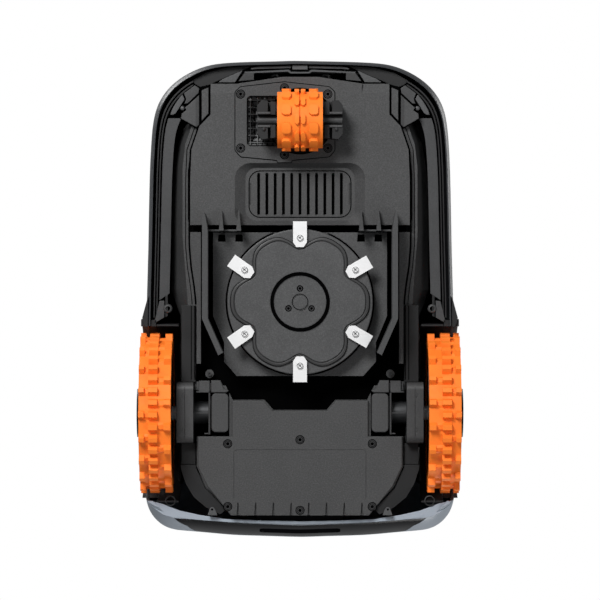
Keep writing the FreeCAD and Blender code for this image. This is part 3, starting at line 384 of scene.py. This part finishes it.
def islands(node):
    """(lowest corner, highest corner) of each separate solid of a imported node, left to right."""
    bm = welded(node)
    left, found = set(bm.verts), []
    while left:
        group, edge = set(), [left.pop()]
        while edge:
            vert = edge.pop()
            group.add(vert)
            for near in (e.other_vert(vert) for e in vert.link_edges):
                if near in left:
                    left.discard(near)
                    edge.append(near)
        spans = [(min(v.co[k] for v in group), max(v.co[k] for v in group)) for k in range(3)]
        found.append((tuple(s[0] for s in spans), tuple(s[1] for s in spans)))
    bm.free()
    return sorted(found)


def heads(node):
    """The middle of each screw's head, on the face that looks down."""
    return [((lo[0] + hi[0]) / 2, (lo[1] + hi[1]) / 2, lo[2]) for lo, hi in islands(node)]


def lowest_outline(node):
    """Height and outer edge (x, y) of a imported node's lowest flat face."""
    bm = welded(node)
    low = min(v.co.z for v in bm.verts)
    flat = {f for f in bm.faces if all(v.co.z < low + FLAT for v in f.verts)}
    edges = [e for e in bm.edges if sum(f in flat for f in e.link_faces) == 1]
    loops = []
    while edges:
        loop = list(edges.pop(0).verts)
        while loop[-1] is not loop[0]:
            near = [e for e in loop[-1].link_edges if e in edges]
            if not near:
                break
            edges.remove(near[0])
            loop.append(near[0].other_vert(loop[-1]))
        loops.append([v.co.xy for v in loop[:-1]])
    bm.free()
    return low, max(loops, key=lambda pts: sum((a - b).length for a, b in zip(pts, pts[1:])))


def edge_line(name, node, width, z0, z1, body):
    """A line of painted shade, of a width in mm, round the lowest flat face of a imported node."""
    low, points = lowest_outline(node)
    count = len(points)
    outward = 1 if sum(points[i - 1].cross(points[i]) for i in range(count)) > 0 else -1
    bm = bmesh.new()
    rows = []
    for i, near in enumerate(points):
        way = (points[(i + 1) % count] - points[i - 1]).normalized()
        far = near + Vector((way.y, -way.x)) * outward * width * MM
        rows.append([bm.verts.new((p.x, p.y, low + z * MM)) for p, z in
                     ((near, z0), (far, z0), (far, z1), (near, z1))])
    add_ring(bm, rows)
    return piece(name, bm, "shade", body, smooth=False)


def band(radius_in, radius_out, z0, z1):
    """Closed profile of a flat ring, for `rings`."""
    return [(radius_in, z0), (radius_out, z0), (radius_out, z1), (radius_in, z1), (radius_in, z0)]


def add_frame(name, half, radius, width, z0, z1, material, origin, body):
    """A flat frame of a width in mm round a rounded rectangle."""
    def loop(grow, z):
        x, y = half[0] + grow, half[1] + grow
        return [bm.verts.new((origin[0] + u * MM, origin[1] + v * MM, origin[2] + z * MM))
                for u, v in rounded(-x, x, -y, y, radius + grow)]
    bm = bmesh.new()
    add_ring(bm, [loop(0, z0), loop(width, z0), loop(width, z1), loop(0, z1)])
    return piece(name, bm, material, body, smooth=False)


def centre_of(node):
    """Middle (x, y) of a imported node's box."""
    low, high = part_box(node)
    return (low[0] + high[0]) / 2, (low[1] + high[1]) / 2


# ---------------------------------------------------------------- details
FRONT = (0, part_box("chassis_tub")[0][1], 0)           # middle of the tub's front edge
FOOT = (0, 0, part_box("front_shell")[0][2])            # height of the cover's lower edge


def add_front():
    """Steps inside the bumper, pads and slats in the front corners."""
    cover, chassis = "cover", "chassis"
    plate("bumper_step", [(-55.4, -10.8), (-47.5, -12.4), (-10.2, -13.4), (-10.2, -10.7), (-47.5, -9.8),
                          (-55.4, -9.1)], 76, 77.5, "pad_grey", cover, FRONT, 0.2)
    plate("bumper_edge", [(-63.3, -6.6), (-62.2, -4.8), (-13.5, -6.8), (-10.7, -4.7), (0, -4.6),
                          (0, -6.5), (-10.0, -6.6), (-12.6, -9.0)], 77.5, 79.5, "pad_grey", cover, FRONT)
    plate("bumper_tab", [(-8.7, -13.8), (8.7, -13.8), (8.7, -8.9), (-8.7, -8.9)], 74, 77, "pad_grey",
          cover, FRONT, 0.3, both=False)
    plate("bumper_inner", [(-122, 3.2), (-107.4, -5.4), (-84.8, -11.0), (-64.5, -12.8), (-55.4, -12.8),
                           (-62.2, -9.8), (-88.2, 1.5), (-104, 8.3), (-113, 10.5), (-119.9, 6.6)],
          79, 80, "black_plastic", cover, FRONT)
    plate("bumper_gusset", [(-65, -8.1), (-73.5, 5.4), (-92.7, 5.4), (-87.1, 1.5)], 77.5, 78.7,
          "pad_grey", cover, FRONT, 0.3)
    plate("tub_step", [(-62.8, -4.7), (-52, -4.7), (-52, 3.2), (-69.6, 4.7)], 66, 72, "guard_grey",
          chassis, FRONT, 0.3)
    # painted shade: a black sheet in the dark space behind the corner slat and web
    plate("corner_shade_sheet", [(-101.4, 10), (-112.5, 10.5), (-112.8, 18.5), (-126.9, 30.8), (-131, 33.8),
                             (-129.3, 37.5), (-134.5, 40.6), (-135.6, 47.2), (-117, 58), (-113, 54.4),
                             (-101.4, 42)], 71.6, 72.6, "shade", chassis, FRONT)
    plate("corner_slat", [(-111, 15.1), (-103.4, 12.0), (-103.4, 41.2), (-111, 49.4)], 63, 70,
          "chassis_grey", chassis, FRONT, 0.4)
    plate("corner_web", [(-114, 20.2), (-126.1, 31.5), (-130, 34.3), (-128.3, 37.7), (-133.6, 41.1),
                         (-134.5, 46.8), (-117, 56.7), (-114, 53.4)], 66, 71, "guard_grey", chassis,
          FRONT, 0.4)
    plate("corner_pad", [(-133.3, 19.1), (-130.6, 24.7), (-140.6, 40.6), (-143.4, 42.3), (-147, 42.3),
                         (-144.5, 35.5), (-139.4, 27)], 74, 76, "pad_grey", cover, FRONT, 0.5)
    plate("corner_rail", [(-131.5, 17.9), (-119, 8.9), (-114.1, 12.3), (-114.7, 17.4), (-127, 29.3),
                          (-131.1, 29.8), (-128.9, 24.4)], 74.5, 76, "rail_grey", cover, FRONT, 0.4)
    pins = [(s * 0.133, FRONT[1] + 0.0349, 0.0735) for s in (-1, 1)]
    rings("corner_pin", pins, [(0.01, 0), (1.8, 0.1), (2.6, 0.7), (2.6, 3.0), (0.01, 3.0)], "pad_grey",
          cover)


def add_belly():
    """Painted shade: black lines beside the belly and two black strips further back, a black sheet in
    the dark space behind the grille, and black lines round the grille and round the caster plate.
    """
    edge = [(101, 42.5), (113.5, 55.5), (122.5, 82), (124, 116), (124, 190), (122, 214), (118.5, 237),
            (116.7, 254), (116.7, 257)]

    def beside(near, far):
        out = [(-x - far, y) for x, y in edge]
        return [(-x - near, y) for x, y in edge] + out[::-1]
    plate("belly_line", beside(0.4, 2.4), 73.8, 74.4, "shade", "chassis", FRONT)
    plate("wall_line", beside(5.2, 6.0), 73.9, 74.4, "shade", "chassis", FRONT)
    for name, x0, x1 in (("strip_line", 118.3, 119.6), ("strip_groove", 122.6, 123.4)):
        plate(name, [(-x1, 258.5), (-x0, 258.5), (-x0, 342), (-x1, 342)], 69.5, 69.95, "shade",
              "chassis", FRONT)
    low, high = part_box("vent_grille")
    middle = (*centre_of("vent_grille"), high[2])
    half_x, half_y = (high[0] - low[0]) / 2 / MM, (high[1] - low[1]) / 2 / MM
    plate("grille_space", rounded(-half_x + 5, half_x - 5, -half_y + 3.5, half_y - 3.5, 7), 0.3, 1.3,
          "shade", "chassis", middle, both=False)
    seat = (middle[0], middle[1], low[2])
    add_frame("grille_gap_shade", (half_x, half_y), 12, 1.1, -0.25, -0.02, "shade", seat, "chassis")
    edge_line("plate_gap_shade", "caster_plate", 0.9, 0.3, 0.7, "chassis")


def add_screws():
    """Painted shade on the screws: black rings in the gaps round the sunk screws and round their heads,
    black discs in their sockets, and black rings, sockets and cross slots on the disc's screws.
    """
    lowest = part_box("belly_screws")[0][2]
    large = [h for h in heads("belly_screws") if h[2] < lowest + 6 * MM]
    rings("screw_gaps", large, band(4.1, 5.5, 0.7, 1.2), "shade", "chassis")
    rings("screw_rims", large, band(2.9, 3.5, -0.12, 0.1), "shade", "chassis")
    rings("screw_sockets", large, band(0.01, 1.88, 0.5, 0.9), "shade", "chassis", 6)
    hub = heads("disc_screws")
    rings("hub_screw_gaps", hub, band(2.5, 3.66, -0.1, 0.25), "shade", "disc")
    rings("hub_screw_sockets", hub, band(0.01, 1.5, 0.3, 0.7), "shade", "disc", 6)
    pivots = heads("blade_screws")
    rings("pivot_rings", pivots, band(2.9, 3.45, -0.1, 0.1), "shade", "disc")
    rings("pivot_sockets", pivots, band(0.01, 0.7, -0.05, 0.7), "shade", "disc", 12)
    bm = bmesh.new()
    for x, y, z in pivots:
        for k in range(4):
            a = math.pi / 4 + k * math.pi / 2
            ux, uy = math.cos(a), math.sin(a)
            corners = [(1.3, -0.3), (2.5, -0.3), (2.5, 0.3), (1.3, 0.3)]
            add_prism(bm, [(x + (u * ux - v * uy) * MM, y + (u * uy + v * ux) * MM) for u, v in corners],
                      z - 0.1 * MM, z + 0.1 * MM)
    piece("pivot_slots", bm, "shade", "disc", smooth=False)


WAVE_STEPS = 144


def add_disc():
    """Painted shade: black rings in the sunk ring and round the axle, and a darker band painted on the
    sloping edge of the disc's raised middle.
    """
    x, y = centre_of("cutting_disc")
    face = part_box("cutting_disc")[0][2]
    rings("hub_groove", [(x, y, face)], band(29.65, 33.45, 0.35, 1.4), "shade", "disc", 96)
    rings("axle_groove", [(x, y, face)], band(8.5, 9.1, 0.1, 0.4), "shade", "disc", 64)
    blades = sum(name.startswith("blade_") and name[-1].isdigit() for name in frame["nodes"])
    bm = bmesh.new()
    loops = []
    for width, height in ((0.3, 1.55), (1.2, 1.1), (3.4, 1.45), (4.6, 2.15), (0.3, 2.15)):
        loop = []
        for k in range(WAVE_STEPS):
            a = 2 * math.pi * k / WAVE_STEPS
            r = 68.2 - 7.6 * math.cos(blades * a) - 1.67 * math.cos(2 * blades * a) + width
            loop.append(bm.verts.new((x + r * MM * math.sin(a), y - r * MM * math.cos(a),
                                      face + height * MM)))
        loops.append(loop)
    add_ring(bm, loops)
    piece("disc_wave", bm, "slope_shade_grey", "disc")


def add_caster():
    """Axle clamps under the fork, with a pin each."""
    y = centre_of("caster_axle")[1]
    bottom = (0, y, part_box("caster_yoke")[0][2])
    outer = -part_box("caster_axle")[1][0] / MM
    inner = outer + 14.6
    for name, y0, y1 in (("front_clamps", -8.7, -6.2), ("rear_clamps", 6.2, 8.7)):
        plate(name, [(outer, y0), (inner, y0), (inner, y1), (outer, y1)], -1.4, 0.3, "guard_grey",
              "caster_fork", bottom, 0.4)
    pins = [(s * 0.0407, y + 0.0108, bottom[2]) for s in (-1, 1)]
    rings("clamp_pins", pins, [(0.01, -3.4), (0.9, -3.2), (1.2, -2.4), (1.2, -1.4), (2.1, -1.2),
                               (2.1, 0.3), (0.01, 0.3)], "rail_grey", "caster_fork", 20)


def add_pocket_grid():
    """Grid lines on the sloping walls of the pocket beside the swivel wheel."""
    low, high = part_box("caster_plate")
    y = centre_of("caster_axle")[1]
    bm = bmesh.new()
    z0, z1 = low[2] + 1.8 * MM, high[2] - 4 * MM

    def wall(t, x, dy):
        """A point on the left, front or rear wall, t from the mouth to the floor."""
        return Vector((x, y + dy, z0 + (z1 - z0) * t))

    def line(one, two, across):
        half = across * 0.35 * MM
        down = Vector((0, 0, -0.5 * MM))
        quad = [one - half, two - half, two + half, one + half]
        add_solid(bm, [p + down for p in quad], [p - down for p in quad])
    along_x, along_y = Vector((1, 0, 0)), Vector((0, 1, 0))
    mouth_x, floor_x, mouth_y, floor_y = -59.0 * MM, -51.2 * MM, 27.5 * MM, 17.0 * MM
    end_x, step = -29.0 * MM, 6 * MM
    for k in range(-4, 5):
        line(wall(0, mouth_x, step * k), wall(1, floor_x, step * k * floor_y / mouth_y), along_y)
    for t in (0.0, 0.5, 1.0):
        x = mouth_x + (floor_x - mouth_x) * t
        span = mouth_y + (floor_y - mouth_y) * t
        line(wall(t, x, -span), wall(t, x, span), along_x)
        for side in (-1, 1):
            line(wall(t, x, side * span), wall(t, end_x, side * span), along_y)
    for k in range(5):
        x = mouth_x + step * (k + 0.6)
        for side in (-1, 1):
            line(wall(0, x, side * mouth_y), wall(1, x + step / 2, side * floor_y), along_x)
    piece("pocket_grid", bm, "shade", "chassis", smooth=False)


def add_drive():
    """A thin frame round the opening beside each motor cover."""
    origin = (0, *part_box("motor_frames")[0][1:])
    plate("motor_bay_front", [(-117.6, 12.6), (-103.2, 12.6), (-103.2, 13.8), (-117.6, 13.8)], 0.4, 1.6,
          "guard_grey", "chassis", origin)
    plate("motor_bay_rear", [(-107.8, 59.6), (-103.2, 59.6), (-103.2, 60.8), (-107.8, 60.8)], 0.4, 1.6,
          "guard_grey", "chassis", origin)


def add_cover_edge():
    """Small parts under the cover's edge: a block and a boss before each wheel, boss and lug behind."""
    plate("arch_block", [(-159.1, 1.1), (-153.7, 0.6), (-153.7, 19.8), (-165.2, 26.5)], 4, 6,
          "rail_grey", "cover", FOOT, 0.3)
    plate("arch_post", [(-152.6, -4.5), (-149.6, -6.2), (-149.6, 18), (-152.6, 19.6)], 5, 7,
          "black_plastic", "cover", FOOT, 0.3)
    rings("arch_boss", [(s * 0.1496, 0.0097, FOOT[2]) for s in (-1, 1)], band(2.7, 5.1, 3.6, 7.5),
          "guard_grey", "cover")
    rings("rear_boss", [(s * 0.1467, 0.2272, FOOT[2]) for s in (-1, 1)], band(5.0, 5.9, 2.2, 4.6),
          "guard_grey", "cover")
    plate("rear_lug", [(-104.4, 243.2), (-101.9, 235.4), (-99.9, 233.9), (-97.7, 234.3), (-95.5, 237.2),
                       (-93.4, 243.2)], -5.4, -3.8, "pad_grey", "cover", FOOT, 0.4)
    plate("rear_lug_foot", [(-103.4, 243.2), (-103.0, 241.0), (-95.0, 241.0), (-94.4, 243.2)], -3.9, 0.6,
          "pad_grey", "cover", FOOT)
    rear = [(-140, 245.6), (-130, 247.3), (-110, 249.4), (-80, 251.6), (-40, 253.1), (0, 253.9)]
    rear += [(-x, y) for x, y in rear[-2::-1]]
    plate("tail_foot", rear + [(x, y - 3.3) for x, y in rear[::-1]], 4.0, 5.3, "cover_light", "cover",
          FOOT, 0.2, both=False)
    plate("rear_facet", [(-173, 226.8), (-157, 230.5), (-136, 238.5), (-113.3, 243.5), (-88.4, 247.2),
                         (-88.4, 251.0), (-110, 249.3), (-140, 247.2), (-150, 244.8), (-155, 243.0),
                         (-160, 239.8), (-165, 235.8), (-170, 231.4), (-172.6, 228.2)],
          4.4, 5.6, "cover_light", "cover", FOOT, 0.2)
    # painted shade: a black disc in each lug's hole
    rings("lug_hole", [(s * 0.0993, 0.2367, FOOT[2]) for s in (-1, 1)], band(0.01, 1.3, -5.5, -5.3),
          "shade", "cover", 20)


BOLTS = 10
BOLT_RADIUS = 66 * MM


def add_wheels():
    """Bolts and an accent ring on the outer face of each rim."""
    for side, sign in (("right", 1), ("left", -1)):
        low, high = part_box("hub_cap_" + side)
        y, z = (low[1] + high[1]) / 2, (low[2] + high[2]) / 2
        face, cap_face = (low[0], high[0])[::sign]
        way = Matrix.Rotation(sign * math.pi / 2, 4, "Y")
        angles = [2 * math.pi * (k + 0.5) / BOLTS for k in range(BOLTS)]
        bolts = [(face, y + BOLT_RADIUS * math.sin(a), z + BOLT_RADIUS * math.cos(a)) for a in angles]
        rings("rim_bolts_" + side, bolts,
              [(0.01, 1.7), (2.0, 1.7), (2.4, 1.3), (2.4, -0.4), (0.01, -0.4)],
              "screw_steel", "wheel_" + side, 6, way)
        rings("rim_ring_" + side, [(face, y, z)], band(31.5, 34.5, -0.3, 0.7), "tread_orange",
              "wheel_" + side, 96, way)
        rings("cap_ring_" + side, [(cap_face, y, z)], band(26.4, 27.4, -1.5, -0.12), "rail_grey",
              "wheel_" + side, 96, way)


paint_nodes()
add_front()
add_belly()
add_screws()
add_disc()
add_caster()
add_pocket_grid()
add_drive()
add_cover_edge()
add_wheels()


# ---------------------------------------------------------------- studio
AIM = Vector((0, 0, 0.1))          # what the lights point at


def softbox(name, place, size, power):
    """A rectangular lamp in watts that points at the machine."""
    light = bpy.data.lights.new(name, "AREA")
    light.shape = "RECTANGLE"
    light.size, light.size_y = size
    light.energy = power
    obj = bpy.data.objects.new(name, light)
    obj.location = place
    obj.rotation_euler = (AIM - obj.location).to_track_quat("-Z", "Y").to_euler()
    scene.collection.objects.link(obj)


def make_world():
    """White behind the object; a dimmer soft grey light on it from all round."""
    world = bpy.data.worlds.new("studio")
    scene.world = world
    world.use_nodes = True
    tree = world.node_tree
    tree.nodes.clear()
    out = tree.nodes.new("ShaderNodeOutputWorld")
    mix = tree.nodes.new("ShaderNodeMixShader")
    path = tree.nodes.new("ShaderNodeLightPath")
    fill = tree.nodes.new("ShaderNodeBackground")
    fill.inputs[0].default_value = (0.97, 0.985, 1.0, 1)
    fill.inputs[1].default_value = 0.24
    white = tree.nodes.new("ShaderNodeBackground")
    white.inputs[0].default_value = (1, 1, 1, 1)
    white.inputs[1].default_value = 1.0
    tree.links.new(path.outputs["Is Camera Ray"], mix.inputs[0])
    tree.links.new(fill.outputs[0], mix.inputs[1])
    tree.links.new(white.outputs[0], mix.inputs[2])
    tree.links.new(mix.outputs[0], out.inputs[0])


def make_floor():
    """A pale floor that shows only from above, so that the underside can be seen through it."""
    bm = bmesh.new()
    add_lathe(bm, [(0.1 * MM, 0), (6.0, 0)], at(0, 0, -0.6 * MM), 64)
    bmesh.ops.recalc_face_normals(bm, faces=bm.faces)
    if sum(f.normal.z for f in bm.faces) < 0:
        bmesh.ops.reverse_faces(bm, faces=bm.faces)     # its front looks up
    mesh = bpy.data.meshes.new("floor")
    bm.to_mesh(mesh)
    bm.free()
    floor = bpy.data.objects.new("floor", mesh)
    scene.collection.objects.link(floor)
    mat = bpy.data.materials.new("floor_paper")
    mat.use_nodes = True
    nodes, links = mat.node_tree.nodes, mat.node_tree.links
    bsdf = nodes["Principled BSDF"]
    bsdf.inputs["Base Color"].default_value = (0.86, 0.865, 0.87, 1)
    bsdf.inputs["Roughness"].default_value = 0.9
    clear = nodes.new("ShaderNodeBsdfTransparent")
    mix = nodes.new("ShaderNodeMixShader")
    geometry = nodes.new("ShaderNodeNewGeometry")
    links.new(geometry.outputs["Backfacing"], mix.inputs[0])
    links.new(clear.outputs[0], mix.inputs[2])
    # the paper fades into the white background with distance
    place = nodes.new("ShaderNodeTexCoord")
    far = nodes.new("ShaderNodeVectorMath")
    far.operation = "LENGTH"
    links.new(place.outputs["Object"], far.inputs[0])
    fade = nodes.new("ShaderNodeMapRange")
    fade.inputs["From Min"].default_value = 0.55
    fade.inputs["From Max"].default_value = 2.2
    links.new(far.outputs["Value"], fade.inputs["Value"])
    white = nodes.new("ShaderNodeEmission")
    white.inputs[0].default_value = (1, 1, 1, 1)
    blend = nodes.new("ShaderNodeMixShader")
    links.new(fade.outputs[0], blend.inputs[0])
    links.new(bsdf.outputs[0], blend.inputs[1])
    links.new(white.outputs[0], blend.inputs[2])
    links.new(blend.outputs[0], mix.inputs[1])
    links.new(mix.outputs[0], nodes["Material Output"].inputs[0])
    mesh.materials.append(mat)
    for ray in ("shadow", "diffuse", "glossy", "transmission"):
        setattr(floor, f"visible_{ray}", False)


def make_lights():
    """Two lamps below the machine and three above it."""
    softbox("below_front_left", (-1.1, -1.9, -2.8), (1.1, 1.1), 130)
    softbox("below_rear_right", (1.9, 1.2, -2.4), (1.4, 1.4), 20)
    softbox("above_key", (-2.1, -2.3, 2.1), (1.8, 1.8), 85)
    softbox("above_fill", (2.2, -0.6, 1.9), (1.6, 1.6), 35)
    softbox("above_back", (0.6, 2.8, 1.05), (1.8, 1.0), 34)


CAMERA_DISTANCE = 4.5
PICTURE_WIDTH = 600                        # in pixels
VIEW_WIDTH = PICTURE_WIDTH * 1.114 * MM    # width of the ground that the picture shows
SENSOR_WIDTH = 36


def make_camera():
    """Straight below the machine, looking up, with the machine's front at the top."""
    data = bpy.data.cameras.new("camera")
    data.sensor_width = SENSOR_WIDTH
    data.lens = SENSOR_WIDTH * CAMERA_DISTANCE / VIEW_WIDTH
    data.clip_end = 50
    obj = bpy.data.objects.new("camera", data)
    obj.location = (0, 0, -CAMERA_DISTANCE)
    obj.rotation_euler = (math.pi, 0, 0)
    scene.collection.objects.link(obj)
    scene.camera = obj


make_world()
make_floor()
make_lights()
make_camera()
scene.view_settings.view_transform = "Standard"
